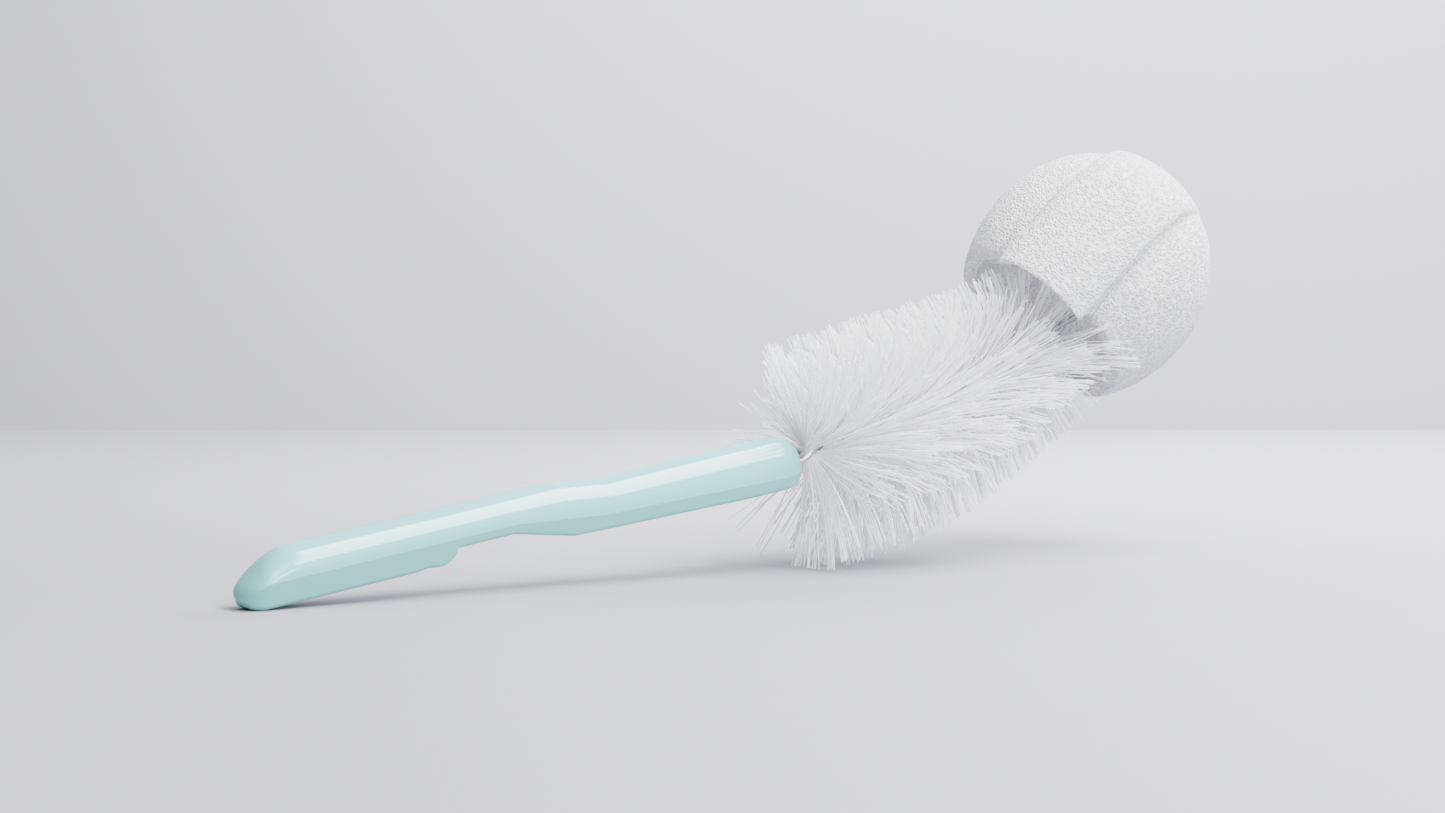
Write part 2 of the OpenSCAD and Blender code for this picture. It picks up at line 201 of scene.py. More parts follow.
def dress(piece: Piece, finish: "Finish", *replaced: str) -> None:
    """Give a finished piece its material and its body, and report it.

    Args:
        piece: The finished piece, in place.
        finish: What it is made of.
        replaced: The plain nodes that it stands for.
    """
    piece.data.materials.clear()
    piece.data.materials.append(finish.material())
    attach(piece, BODY)
    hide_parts(*replaced)
    log.info("%s: %d faces", piece.name, len(piece.data.polygons))


# ---- shader nodes -----------------------------------------------------------


def set_inputs(node: Node, values: Values) -> None:
    """Give a node's inputs their values, by name or number."""
    for key, value in values.items():
        node.inputs[key].default_value = value


def add_node(tree: Tree, kind: str, values: Values | None = None, **settings: object) -> Node:
    """Add one shader node.

    Args:
        tree: Where it goes.
        kind: Its type, less the leading ShaderNode.
        values: Values of its inputs, by name or number.
        settings: Its own settings, made first, as they decide which inputs it has.

    Returns:
        The node.
    """
    node = tree.nodes.new("ShaderNode" + kind)
    for key, value in settings.items():
        setattr(node, key, value)
    set_inputs(node, values or {})
    return node


def connect(tree: Tree, *wires: tuple[Node, str | int, Node, str | int]) -> None:
    """Link nodes, each wire from a node's output to a node's input."""
    for source, output, target, into in wires:
        tree.links.new(source.outputs[output], target.inputs[into])


def new_group(
    name: str, inputs: dict[str, float], outputs: Sequence[str]
) -> tuple[Tree, Node, Node]:
    """Start a shader node group whose sockets are all floats.

    Args:
        name: Its name.
        inputs: Its inputs and their defaults.
        outputs: Its outputs.

    Returns:
        The group, the node that gives its inputs and the node that takes its outputs.
    """
    tree = bpy.data.node_groups.new(name, "ShaderNodeTree")
    for label, value in inputs.items():
        socket = tree.interface.new_socket(
            name=label, in_out="INPUT", socket_type="NodeSocketFloat"
        )
        socket.default_value = value
    for label in outputs:
        tree.interface.new_socket(name=label, in_out="OUTPUT", socket_type="NodeSocketFloat")
    return tree, tree.nodes.new("NodeGroupInput"), tree.nodes.new("NodeGroupOutput")


@cache
def mottle_group() -> Tree:
    """Return the group that every finish uses for its fine unevenness.

    Returns:
        A group with Scale, Low and High inputs and a soft Mask and a Fine mask out.
    """
    defaults = {"Scale": 100.0, "Low": 0.35, "High": 0.65}
    tree, inputs, outputs = new_group("fine_mottle", defaults, ("Mask", "Fine"))
    where = add_node(tree, "TexCoord")
    broad = add_node(tree, "TexNoise", {"Detail": 3.0})
    close = add_node(tree, "TexNoise", {"Detail": 4.0})
    finer = add_node(tree, "Math", {1: 7.0}, operation="MULTIPLY")
    spread = add_node(tree, "MapRange")
    connect(
        tree,
        (where, "Object", broad, "Vector"),
        (where, "Object", close, "Vector"),
        (inputs, "Scale", broad, "Scale"),
        (inputs, "Scale", finer, 0),
        (finer, 0, close, "Scale"),
        (broad, "Fac", spread, "Value"),
        (inputs, "Low", spread, "From Min"),
        (inputs, "High", spread, "From Max"),
        (spread, "Result", outputs, "Mask"),
        (close, "Fac", outputs, "Fine"),
    )
    return tree


@cache
def foam_cell_group() -> Tree:
    """Return the group that draws open foam cells, their walls bent by a noise.

    Returns:
        A group with a Scale input, a Height out, and a mask out that is 1 in the cells' low pits,
        where painted shade goes.
    """
    tree, inputs, outputs = new_group("foam_cells", {"Scale": 1400.0}, ("Height", "PitShade"))
    where = add_node(tree, "TexCoord")
    wander = add_node(tree, "TexNoise", {"Scale": 900.0, "Detail": 2.0})
    push = add_node(tree, "VectorMath", {1: (0.0006, 0.0006, 0.0006)}, operation="MULTIPLY_ADD")
    cells = add_node(tree, "TexVoronoi", feature="DISTANCE_TO_EDGE")
    small = add_node(tree, "TexVoronoi", feature="F1")
    wall = add_node(tree, "MapRange", {"From Max": 0.16, "To Min": 1.0, "To Max": 0.0})
    pit = add_node(tree, "MapRange", {"From Min": 0.15, "From Max": 0.55})
    both = add_node(tree, "Math", {1: 0.6}, operation="MULTIPLY_ADD")
    # painted shade mask: 1 where the height is low, in the cells' pits
    hole = add_node(tree, "Math", {0: 1.0}, operation="SUBTRACT", use_clamp=True)
    connect(
        tree,
        (where, "Object", wander, "Vector"),
        (wander, "Color", push, 0),
        (where, "Object", push, 2),
        (push, 0, cells, "Vector"),
        (push, 0, small, "Vector"),
        (inputs, "Scale", cells, "Scale"),
        (inputs, "Scale", small, "Scale"),
        (cells, "Distance", wall, "Value"),
        (small, "Distance", pit, "Value"),
        (wall, "Result", both, 0),
        (pit, "Result", both, 2),
        (both, 0, outputs, "Height"),
        (both, 0, hole, 1),
        (hole, 0, outputs, "PitShade"),
    )
    return tree


# ---- finishes ---------------------------------------------------------------


class Slot(Enum):
    """The record's material slots."""

    HANDLE = "handle_plastic"
    WIRE = "stem_wire"
    BRISTLE = "bristle_nylon"
    SPONGE = "sponge_foam"


@dataclass(frozen=True)
class Finish:
    """A named material, built once: a pattern mixes its two colours and dents its surface."""

    slot: str  # the record's slot that it stands for
    colour: Triple  # main colour, linear
    second: Triple  # colour of the mottled places, or the painted shade in the foam's pits, linear
    roughness: float
    settings: Values  # the surface shader's other values
    pattern: Callable[[], Tree]  # the group that draws the pattern
    values: Values  # that group's inputs
    bump: tuple[str, float, float]  # its height, the depth in metres and the share that shows
    mask: str = "Mask"  # its mask: 0 for the main colour and 1 for the second
    attribute: str = ""  # the mesh attribute that stands in for that mask
    gloss: Pair | None = None  # least and most share of the roughness, where it changes
    clear: float = 0.0  # share of light that passes through to the other side

    def material(self) -> bpy.types.Material:
        """Return the material, made the first time it is asked for.

        Returns:
            The material of this finish.
        """
        name = self.slot + "_finish"
        if name in bpy.data.materials:
            return bpy.data.materials[name]
        made = bpy.data.materials.new(name)
        made.use_nodes = True
        shader = made.node_tree.nodes["Principled BSDF"]
        plain = {"Base Color": (*self.colour, 1.0), "Roughness": self.roughness}
        set_inputs(shader, {**plain, **self.settings})
        self.paint(made.node_tree, shader)
        if self.clear:
            self.let_through(made.node_tree, shader)
        return made

    def paint(self, tree: Tree, shader: Node) -> None:
        """Add the pattern, and lead it to the colour, the normal and the roughness.

        Args:
            tree: The material's nodes.
            shader: Its surface shader.
        """
        pattern = add_node(tree, "Group", self.values, node_tree=self.pattern())
        mask = (pattern, self.mask)
        if self.attribute:
            mask = (add_node(tree, "Attribute", attribute_name=self.attribute), "Fac")
        colours = {"A": (*self.colour, 1.0), "B": (*self.second, 1.0)}
        mix = add_node(tree, "Mix", colours, data_type="RGBA")
        height, depth, share = self.bump
        dent = add_node(tree, "Bump", {"Distance": depth, "Strength": share})
        connect(
            tree,
            (*mask, mix, "Factor"),
            (mix, "Result", shader, "Base Color"),
            (pattern, height, dent, "Height"),
            (dent, "Normal", shader, "Normal"),
        )
        if self.gloss:
            low, high = (self.roughness * share for share in self.gloss)
            spread = add_node(tree, "MapRange", {"To Min": low, "To Max": high})
            fine = (pattern, "Fine", spread, "Value")
            connect(tree, fine, (spread, "Result", shader, "Roughness"))

    def let_through(self, tree: Tree, shader: Node) -> None:
        """Let part of the light pass through to the other side.

        Args:
            tree: The material's nodes.
            shader: Its surface shader.
        """
        through = add_node(tree, "BsdfTranslucent", {"Color": (*self.colour, 1.0)})
        blend = add_node(tree, "MixShader", {"Fac": self.clear})
        connect(
            tree,
            (shader, "BSDF", blend, 1),
            (through, "BSDF", blend, 2),
            (blend, "Shader", tree.nodes["Material Output"], "Surface"),
        )


# pale mint polypropylene with a moulded gloss and a faint ripple; light travels under it
MINT = Finish(
    Slot.HANDLE.value,
    colour=(0.15, 0.43, 0.43),
    second=(0.14, 0.415, 0.415),
    roughness=0.12,
    settings={
        "Subsurface Weight": 0.08,
        "Subsurface Radius": (1.0, 1.3, 1.3),
        "Subsurface Scale": 0.0025,
        "IOR": 1.5,
    },
    pattern=mottle_group,
    values={"Scale": 60.0, "Low": 0.3, "High": 0.7},
    bump=("Fine", 0.00002, 0.35),
    gloss=(0.85, 1.25),
)

# zinc-coated steel wire, dull and a little cloudy
ZINC = Finish(
    Slot.WIRE.value,
    colour=(0.62, 0.63, 0.66),
    second=(0.45, 0.46, 0.49),
    roughness=0.34,
    settings={"Metallic": 1.0},
    pattern=mottle_group,
    values={"Scale": 500.0, "Low": 0.35, "High": 0.65},
    bump=("Fine", 0.00003, 0.4),
)

# milky nylon: each filament is a little clearer or whiter than the next
FILAMENT = Finish(
    Slot.BRISTLE.value,
    colour=(0.99, 0.99, 0.995),
    second=(0.93, 0.94, 0.97),
    roughness=0.3,
    settings={"IOR": 1.53},
    pattern=mottle_group,
    values={"Scale": 900.0, "Low": 0.3, "High": 0.7},
    bump=("Fine", 0.00002, 0.3),
    attribute="filament_shade",
    clear=0.5,
)

# white open-cell foam with painted shade, a bluish grey, in its pits; light travels within it and
# through it
FOAM = Finish(
    Slot.SPONGE.value,
    colour=(0.98, 0.98, 0.985),
    # painted shade in the cells' pits
    second=(0.52, 0.53, 0.60),
    roughness=0.9,
    settings={"Subsurface Weight": 0.15, "Subsurface Scale": 0.0015, "Specular IOR Level": 0.3},
    pattern=foam_cell_group,
    values={"Scale": 1350.0},
    bump=("Height", 0.0005, 0.9),
    # the pits' mask, which places the painted shade
    mask="PitShade",
    clear=0.3,
)


# ---- the wire's line and how the brush rests --------------------------------


@dataclass(frozen=True)
class Stem:
    """The middle line of the wire, and what sits where on it."""

    start: float = 144.0  # X of the grip's rounded front
    height: float = 4.0  # height of the wire where it enters the grip
    bend: float = 215.0  # radius of the upward bend
    pitch: float = 12.6  # length of one full turn of the twist
    bare: float = 1.8  # bare wire before the first filament
    half_turns: int = 12  # half turns of the twist that hold filaments
    eye: float = 121.15  # where the strands part into the closing eye

    @property
    def bristle_end(self) -> float:
        """Where the last filament leaves the wire."""
        return self.bare + self.half_turns * self.pitch / 2.0

    def angle(self, s: Array | float) -> Array | float:
        """Return the wire's slope in radians."""
        return np.maximum(s, 0.0) / self.bend

    def point(self, s: Array | float) -> Array:
        """Return points on the middle line.

        Args:
            s: Distances along the wire.

        Returns:
            One point for each distance.
        """
        a = self.angle(s)
        x = self.start + np.minimum(s, 0.0) + self.bend * np.sin(a)
        z = self.height + self.bend * (1.0 - np.cos(a))
        return np.stack([x, np.zeros_like(x), z], -1)

    def ahead(self, s: Array | float) -> Array:
        """Return the direction along the wire."""
        a = self.angle(s)
        return np.stack([np.cos(a), np.zeros_like(a), np.sin(a)], -1)

    def upward(self, s: Array | float) -> Array:
        """Return the direction square to the wire, in its plane of bend."""
        a = self.angle(s)
        return np.stack([-np.sin(a), np.zeros_like(a), np.cos(a)], -1)

    def spoke(self, s: Array, turn: Array) -> Array:
        """Return directions square to the wire, turned about it by radians."""
        return np.cos(turn)[..., None] * self.upward(s) + np.sin(turn)[..., None] * SIDE


@dataclass(frozen=True)
class Rest:
    """How the brush lies: on its tail's nose and on the tips of the first turns of bristle."""

    stem: Stem
    nose_height: float = 3.0  # height of the tail's blunt point
    nose_share: float = 1.5  # length of the rounding under it, to its height
    reach: float = 27.5  # from the wire's middle to the bristle's tips
    press: float = 1.6  # how far the ground presses the lowest tips up
    lean: float = -5.0  # how far those tips lean back, at most
    lean_run: float = 30.0  # length of wire over which that lean dies out
    aside: float = 1.5  # how far the sponge's middle stands off the grip's

    @property
    def nose_run(self) -> float:
        """Length of the rounding under the tail's nose."""
        return self.nose_share * self.nose_height

    @cached_property
    def tilt(self) -> float:
        """Work out the slope at which both the nose and the lowest tips are on the ground.

        Returns:
            The grip's slope, in radians.
        """
        foot = self.stem.bare + self.stem.pitch / 4.0
        lean = self.lean * max(0.0, 1.0 - foot / self.lean_run) ** 2
        a = float(self.stem.angle(foot))
        point = self.stem.point(np.array(foot))
        foot_x = point[0] + self.reach * math.sin(a) + lean
        foot_z = point[2] - self.reach * math.cos(a) + self.press
        return math.atan(-foot_z / (foot_x - self.nose_run))

    @cached_property
    def lift(self) -> float:
        """Work out how far the turn about the tail's nose raises the grip.

        Returns:
            World Z of the grip's frame, in millimetres.
        """
        c, s = math.cos(self.tilt), math.sin(self.tilt)
        lift = math.hypot(self.nose_run * s, self.nose_height * c)
        return lift - (self.nose_run * s + self.nose_height * c)

    @cached_property
    def shift(self) -> float:
        """World X of the grip's frame, in millimetres."""
        low, _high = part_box("handle")
        return low.x / MM + self.nose_height * math.sin(self.tilt)

    def place(self, points: Array) -> Array:
        """Lay points of the grip's frame down in the world.

        Args:
            points: Points in millimetres, last axis X, Y, Z.

        Returns:
            The same points in metres.
        """
        c, s = math.cos(self.tilt), math.sin(self.tilt)
        x, y, z = points[..., 0], points[..., 1], points[..., 2]
        return MM * np.stack(
            [x * c - z * s + self.shift, y - self.aside, x * s + z * c + self.lift], -1
        )

    def height_of(self, points: Array) -> Array:
        """Return how high points of the grip's frame lie, in millimetres."""
        return self.place(points)[..., 2] / MM


@dataclass
class Part:
    """A sub-assembly: it follows the wire's line and lies as the brush rests."""

    stem: Stem
    rest: Rest

    def build(self) -> None:
        """Model the part's pieces and dress them."""
        raise NotImplementedError


# ---- grip -------------------------------------------------------------------


@dataclass
class Grip(Part):
    """The moulded grip: crowned above a crisp shoulder, flats below it."""

    length: float = 144.0  # tail to rounded front
    width: float = 13.0  # across the shoulder
    grip_top: float = 11.8  # top behind the waist
    neck_top: float = 10.1  # top in front of the waist
    neck_low: float = -1.8  # height of the neck's underside
    waist: Pair = (78.0, 92.0)  # where the waist's facet starts and ends
    facet: Triple = (65.0, 80.5, -0.45)  # underneath: its start, its end and its end's height
    hollow: float = 3.3  # height of the underside between the tail block and the waist
    neck_flat: float = 16.0  # length of even underside at the front
    front_round: float = 7.0  # length of the rounded front
    front_power: float = 2.3  # how square that rounding is
    tail_round: float = 6.0  # length of the tail's rounding, seen from above
    tail_slope: float = 0.82  # rise of the oblique tail for each millimetre
    tail_crown: Pair = (1.2, 2.0)  # height and length of the rounding at its foot
    tail_meeting: float = 3.0  # width of the soft edge where it meets the top
    block_end: float = 46.5  # where the deeper tail block ends
    lip_length: float = 4.0  # length of the block's rounded lip
    groove: Triple = (0.4, 3.0, 2.6)  # before the lip: its depth, its place and its half width
    shoulder: Triple = (5.6, 3.0, 1.3)  # its height at the grip, at the waist and at the front
    shoulder_knee: float = 4.0  # how far before the waist's end it bends
    shoulder_power: float = 1.6  # how fast it rises from the nose
    flat_angle: float = math.radians(22.0)  # lean of the flats under the shoulder
    corner: float = 1.1  # reach of the rounding between a flat and the underside
    corner_faces: int = 8  # faces over that rounding
    arch_faces: int = 60  # faces over the top, from shoulder to shoulder
    round_faces: int = 12  # faces along each rounded end
    longest_face: float = 2.5  # greatest distance between two sections
    edge: float = 0.35  # width of the bevel on the crisp edges
    crisp: float = math.radians(13.0)  # angle above which an edge is one of them

    def top(self, x: Array) -> Array:
        """Return the height of the top.

        Args:
            x: Places along the grip.

        Returns:
            Heights of the top.
        """
        high, run = self.tail_crown
        ramp = self.rest.nose_height + self.tail_slope * x + high * quarter(x / run)
        flat = lookup(x, ((self.waist[0], self.grip_top), (self.waist[1], self.neck_top)))
        return soft_min(ramp, flat, self.tail_meeting)

    def shoulder_line(self, x: Array) -> Array:
        """Return the height of the crisp shoulder edge.

        Args:
            x: Places along the grip.

        Returns:
            Heights of the shoulder.
        """
        (high, knee, low), nose = self.shoulder, self.rest.nose_height
        rise = 1.0 - (1.0 - np.clip(x / self.tail_round, 0.0, 1.0)) ** self.shoulder_power
        bend = (self.waist[1] - self.shoulder_knee, knee)
        front = (self.length - self.front_round, low)
        line = lookup(x, ((self.facet[0], high), bend, front))
        return np.minimum(nose + (high - nose) * rise, line)

    def underside(self, x: Array) -> Array:
        """Return the height of the underside, with the step behind the tail block.

        Args:
            x: Places along the grip.

        Returns:
            Heights of the underside.
        """
        deep, before, half = self.groove
        dip = deep * soft_step(1.0 - np.abs(x - self.block_end + before) / half)
        tail = self.rest.nose_height * (1.0 - quarter(x / self.rest.nose_run)) + dip
        down = np.clip((x - self.block_end) / self.lip_length, 0, 1)
        lip = self.hollow * (1.0 - quarter(1.0 - down))
        start, end, low = self.facet
        front = (self.length - self.neck_flat, self.neck_low)
        neck = lookup(x, ((start, self.hollow), (end, low), front))
        return np.where(x < self.block_end, tail, np.minimum(lip, neck))

    def section(self, x: float) -> Array:
        """Return one closed cross-section.

        Args:
            x: Place along the grip.

        Returns:
            Its points, in order, from the top round over the far side.
        """
        wide = self.width / 2.0 * float(quarter(x / self.tail_round))
        lines = (self.shoulder_line, self.top, self.underside)
        shoulder, top, base = (float(line(np.array([x]))[0]) for line in lines)
        foot = max(wide - (shoulder - base) * math.tan(self.flat_angle), wide / 2.0)
        corner = min(self.corner, foot / 2.0, (shoulder - base) / 2.0)
        lean = np.array([wide - foot, shoulder - base])
        lean /= np.linalg.norm(lean) + 1e-9
        half_arch = self.arch_faces // 2
        arc = [
            (wide * math.cos(a), shoulder + (top - shoulder) * math.sin(a))
            for a in (math.pi / 2 * (1 - i / half_arch) for i in range(half_arch + 1))
        ]
        bend = np.array([foot, base])
        start, end = bend + corner * lean, np.array([foot - corner, base])
        round_off = [
            tuple((1 - t) ** 2 * start + 2 * t * (1 - t) * bend + t * t * end)
            for t in (i / self.corner_faces for i in range(self.corner_faces + 1))
        ]
        half = np.array(arc + round_off)
        ring = np.concatenate([half, half[:0:-1] * (-1, 1)])
        t = np.clip((x - (self.length - self.front_round)) / self.front_round, 0, 1)
        share = (1 - t**self.front_power) ** (1 / self.front_power)
        centre = (self.neck_top + self.neck_low) / 2.0
        ring[:, 0] *= share
        ring[:, 1] = centre + (ring[:, 1] - centre) * share
        return np.column_stack([np.full(len(ring), x), ring])

    def stations(self) -> list[float]:
        """Return the places of the cross-sections, close at the nose, lip and front.

        Returns:
            Places along the grip.
        """
        count = self.round_faces
        turns = [math.pi / 2 * i / count for i in range(count + 1)]
        tip = 0.004  # the first and the last section stand just inside the ends
        marks = [tip + self.tail_round * (1 - math.cos(a)) for a in turns]
        meeting = (self.grip_top - self.rest.nose_height) / self.tail_slope
        marks += [meeting + d for d in (-1.6, -0.4, 0.8)]
        _deep, before, half = self.groove
        marks += [self.block_end - before + half * k / 2 for k in range(-2, 3)]
        marks += [self.block_end + self.lip_length * math.sin(a) for a in turns]
        marks += [*self.facet[:2], *self.waist, self.waist[1] - self.shoulder_knee]
        marks += [self.length - self.neck_flat]
        front = self.front_round - tip
        marks += [self.length - tip - front * (1 - math.sin(a)) for a in turns]
        marks.sort()
        places: list[float] = []
        for low, high in zip(marks, marks[1:]):
            count = max(1, math.ceil((high - low) / self.longest_face))
            places += [low + (high - low) * k / count for k in range(count)]
        return places + [marks[-1]]

    def build(self) -> None:
        """Model the grip, with its edges bevelled, and lay it down."""
        sections = [self.section(x) for x in self.stations()]
        tail, front = (end.mean(0) + 0 * end for end in (sections[0], sections[-1]))
        world = self.rest.place(np.array([tail, *sections, front]))
        piece = wrapped_grid("grip", *world.shape[:2], lambda ring, column: world[ring, column])
        make_active(piece)
        bpy.ops.object.shade_smooth()
        bevel = {"limit_method": "ANGLE", "angle_limit": self.crisp}
        add_modifier(piece, "BEVEL", width=self.edge * MM, segments=3, **bevel)
        self.sharpen_rings(piece)
        add_modifier(piece, "WEIGHTED_NORMAL", keep_sharp=True)
        dress(piece, MINT, "handle")

    def sharpen_rings(self, piece: Piece) -> None:
        """Mark the two rings of the waist's facet as crisp.

        Args:
            piece: The grip, laid down.
        """
        rest, close = self.rest, 0.05 * MM
        rings = [Vector(rest.place(np.array([x, 0.0, 0.0]))) for x in self.waist]
        way = Vector(rest.place(np.array([1.0, 0.0, 0.0])) - rest.place(np.zeros(3))).normalized()
        mesh = bmesh.new()
        mesh.from_mesh(piece.data)
        for edge in mesh.edges:
            start, end = (vertex.co for vertex in edge.verts)
            near = min(abs(((start + end) / 2 - ring).dot(way)) for ring in rings)
            if near < close and abs((start - end).dot(way)) < close:
                edge.smooth = False
        mesh.to_mesh(piece.data)
        mesh.free()


# ---- twisted wire -----------------------------------------------------------


@dataclass
class TwistedWire(Part):
    """One wire folded into a hairpin and twisted on itself."""

    radius: float = 0.75  # radius of the wire
    offset: float = 1.04  # distance of each strand from the middle line
    inner_end: float = -29.0  # where it ends inside the grip
    eye_length: float = 6.0  # length of the closing eye
    eye_bulge: float = 1.4  # how far the strands swell apart in it
    turn_steps: int = 16  # points to a full turn of the twist
    eye_steps: int = 14  # steps round the eye

    def line(self) -> Array:
        """Return the middle line of the whole hairpin.

        Returns:
            Points in order along the wire.
        """
        stem = self.stem
        steps = round((stem.eye - self.inner_end) / stem.pitch * self.turn_steps)
        s = np.linspace(self.inner_end, stem.eye, steps + 1)
        turn = 2 * np.pi * s / stem.pitch
        strand = self.offset * stem.spoke(s, turn)
        a = np.linspace(0, np.pi, self.eye_steps + 1)[1:-1]
        end = np.full_like(a, stem.eye)
        swell = np.cos(a) * (self.offset + self.eye_bulge * np.sin(a))
        eye = (
            stem.point(end)
            + (self.eye_length * np.sin(a))[:, None] * stem.ahead(end)
            + swell[:, None] * stem.spoke(end, np.full_like(a, turn[-1]))
        )
        return np.concatenate([stem.point(s) + strand, eye, (stem.point(s) - strand)[::-1]])

    def build(self) -> None:
        """Model the wire as a swept round and lay it down."""
        deselect_all()
        bpy.ops.curve.primitive_nurbs_path_add()
        path = bpy.context.object
        path.name = "hairpin_wire"
        curve = path.data
        curve.splines.clear()
        points = self.rest.place(self.line())
        spline = curve.splines.new("POLY")
        spline.points.add(len(points) - 1)
        for knot, point in zip(spline.points, points):
            knot.co = (*point, 1.0)
        curve.dimensions = "3D"
        curve.bevel_depth = self.radius * MM
        curve.bevel_resolution = 3
        curve.use_fill_caps = True
        make_active(path)
        bpy.ops.object.transform_apply(location=True, rotation=True, scale=True)
        bpy.ops.object.convert(target="MESH")
        piece = bpy.context.object
        close_up(piece)
        smooth_below(piece, 50)
        dress(piece, ZINC, "twisted_wire")


# ---- bristle ----------------------------------------------------------------


@dataclass(frozen=True)
class Unevenness:
    """How unevenly the filaments lie: each spread is in millimetres or radians."""

    tuft: float = math.radians(14.0)  # width of a tuft, whose tips draw together
    pull: Pair = (0.35, 0.75)  # least and most share of the way that they draw
    tuft_lean: float = 0.5  # lean of a tuft along the wire
    tuft_turn: float = math.radians(2.0)  # turn of a tuft about the wire
    turn: float = math.radians(1.7)  # turn of one filament about the wire
    lean: float = 0.3  # lean of one filament along the wire
    worn: float = 0.7  # how much shorter the tips are worn
    cut: float = 0.8  # how much shorter they are cut, at most
    stray: float = 0.012  # share of the filaments that stand apart
    stray_turn: float = math.radians(14.0)  # turn of such a one about the wire
    stray_lean: float = 5.0  # lean of such a one along the wire
    sway: float = math.radians(0.8)  # bend of a filament about the wire
    bow: float = 0.15  # bend of a filament along the wire
    splay: float = 0.5  # how far the ground spreads tips, for each millimetre of press
    girth: Pair = (0.8, 1.15)  # least and most share of the filament's radius
    shade_power: float = 1.5  # how rare the darker filaments are


@dataclass
class Bristle(Part):
    """Nylon filaments that fan out from between the strands, turn after turn.

    The tables give millimetres along the wire by turn about it, in degrees.
    """

    sponge: "Sponge"
    arms: int = 250  # filament arms to a half turn
    radius: float = 0.165  # radius of one filament
    rings: int = 6  # stretches to a filament
    sides: int = 4  # faces round a filament
    taper: float = 0.8  # share of the radius at the tip
    root: float = 0.55  # distance of an arm's start from the wire's middle
    seed: int = 11  # start of the random draws
    uneven: Unevenness = Unevenness()
    creep: Pair = (1.1, 5.0)  # how far the first arms creep back, and over what run
    last_share: float = 0.8  # share of the reach that is left beside the sponge
    shrink_run: float = 52.0  # length of wire over which the reach shrinks
    first_run: float = 15.0  # length of wire over which the first lean dies out
    first_power: float = 1.6  # how soon it does
    first_lean: Sequence[Pair] = (
        (-180.0, -6.0), (-150.0, -5.0), (-110.0, -1.0), (-50.0, -1.5), (-20.0, -5.0),
        (0.0, -5.5), (14.0, -3.0), (28.0, 3.0), (45.0, 7.5), (62.0, 8.0), (70.0, 2.0),
        (80.0, -9.0), (95.0, -11.0), (115.0, -9.0), (140.0, -6.0), (180.0, -6.0),
    )
    combed: Sequence[Pair] = (
        (-180.0, -4.0), (-136.0, -3.5), (-124.0, 0.0), (-112.0, 7.0), (-95.0, 9.5), (-75.0, 8.5),
        (-55.0, 5.5), (-35.0, 2.5), (-15.0, 0.0), (0.0, -0.5), (90.0, -1.0), (140.0, -3.0),
        (180.0, -4.0),
    )
    last_run: float = 22.0  # length of wire over which the last lean grows
    last_power: float = 1.4  # how late it does
    last_lean: Triple = (3.5, 4.0, 2.5)  # that lean on the near side, below and above
    gather: Pair = (0.75, 0.5)  # how far arms below and above draw together along the wire
    parting: float = math.radians(-128.0)  # where the combing left a parting
    parting_push: float = math.radians(11.0)  # how far it parts the tips
    parting_width: float = math.radians(20.0)
    bend_powers: Pair = (1.3, 1.7)  # how late an arm bends, about the wire and along it
    ground_gap: float = 0.02  # how far the tips keep off the ground
    thin: float = 0.75  # share of the first arms that is missing on the far side
    thin_side: Pair = (66.0, 168.0)  # where that is, in degrees

    def filament(self) -> tuple[Array, list[tuple[int, ...]]]:
        """Model one straight filament as a slim tapered rod along Z, from 0 to 1.

        Returns:
            Its points, with radius 1 at the root, and its faces.
        """
        deselect_all()
        bpy.ops.mesh.primitive_cone_add(
            vertices=self.sides, radius1=1.0, radius2=self.taper, depth=1.0, location=(0, 0, 0.5)
        )
        rod = bpy.context.object
        bpy.ops.object.transform_apply(location=True, rotation=True, scale=True)
        for k in range(1, self.rings):
            cut = (0, 0, k / self.rings)
            edit(rod, lambda: bpy.ops.mesh.bisect(plane_co=cut, plane_no=(0, 0, 1)))
        points = np.array([vertex.co for vertex in rod.data.vertices])
        faces = [tuple(face.vertices) for face in rod.data.polygons]
        bpy.data.objects.remove(rod)
        return points, faces

    def free_reach(self, s: Array) -> Array:
        """Return how far the tips reach, without the ground."""
        t = soft_step((s - self.stem.bristle_end + self.shrink_run) / self.shrink_run)
        return self.rest.reach * (1.0 + (self.last_share - 1.0) * t)

    def roots(self, number: int, draw: np.random.Generator) -> tuple[Array, Array]:
        """Place one half turn's arms between the strands, two to a filament.

        Args:
            number: Which half turn, from 0.
            draw: The random source.

        Returns:
            Where each arm leaves the wire, and its turn about the wire in radians.
        """
        n, pitch = self.arms, self.stem.pitch
        share = (np.arange(n) // 2 + draw.uniform(0, 1, n)) / (n / 2.0)
        s = self.stem.bare + (number + share) * (pitch / 2.0)
        back, run = self.creep
        s = s - back * (1.0 - np.clip((s - self.stem.bare) / run, 0.0, 1.0))
        turn = 2 * np.pi * s / pitch + np.pi / 2
        return s, turn + np.where(np.arange(n) % 2, 0.0, np.pi)

    def tufts(self, turn: Array, draw: np.random.Generator) -> tuple[Array, Array]:
        """Draw neighbours together in tufts, and push the tips away from the parting.

        Args:
            turn: The arms' turns about the wire.
            draw: The random source.

        Returns:
            The turns of the tips, and how far each tip leans along the wire.
        """
        uneven = self.uneven
        tuft = np.floor(turn / uneven.tuft).astype(int)
        names, index = np.unique(tuft, return_inverse=True)
        middle = (names[index] + 0.5) * uneven.tuft
        lean = draw.normal(0, uneven.tuft_lean, len(names))[index]
        tuft_turn = draw.normal(0, uneven.tuft_turn, len(names))[index]
        pull = draw.uniform(*uneven.pull, len(names))[index]
        tip_turn = turn + pull * (middle - turn) + tuft_turn
        tip_turn += draw.normal(0, uneven.turn, self.arms)
        off = within(turn - self.parting, 2 * np.pi)
        tip_turn += np.sign(off) * self.parting_push * np.exp(-((off / self.parting_width) ** 2))
        return tip_turn, lean + draw.normal(0, uneven.lean, self.arms)

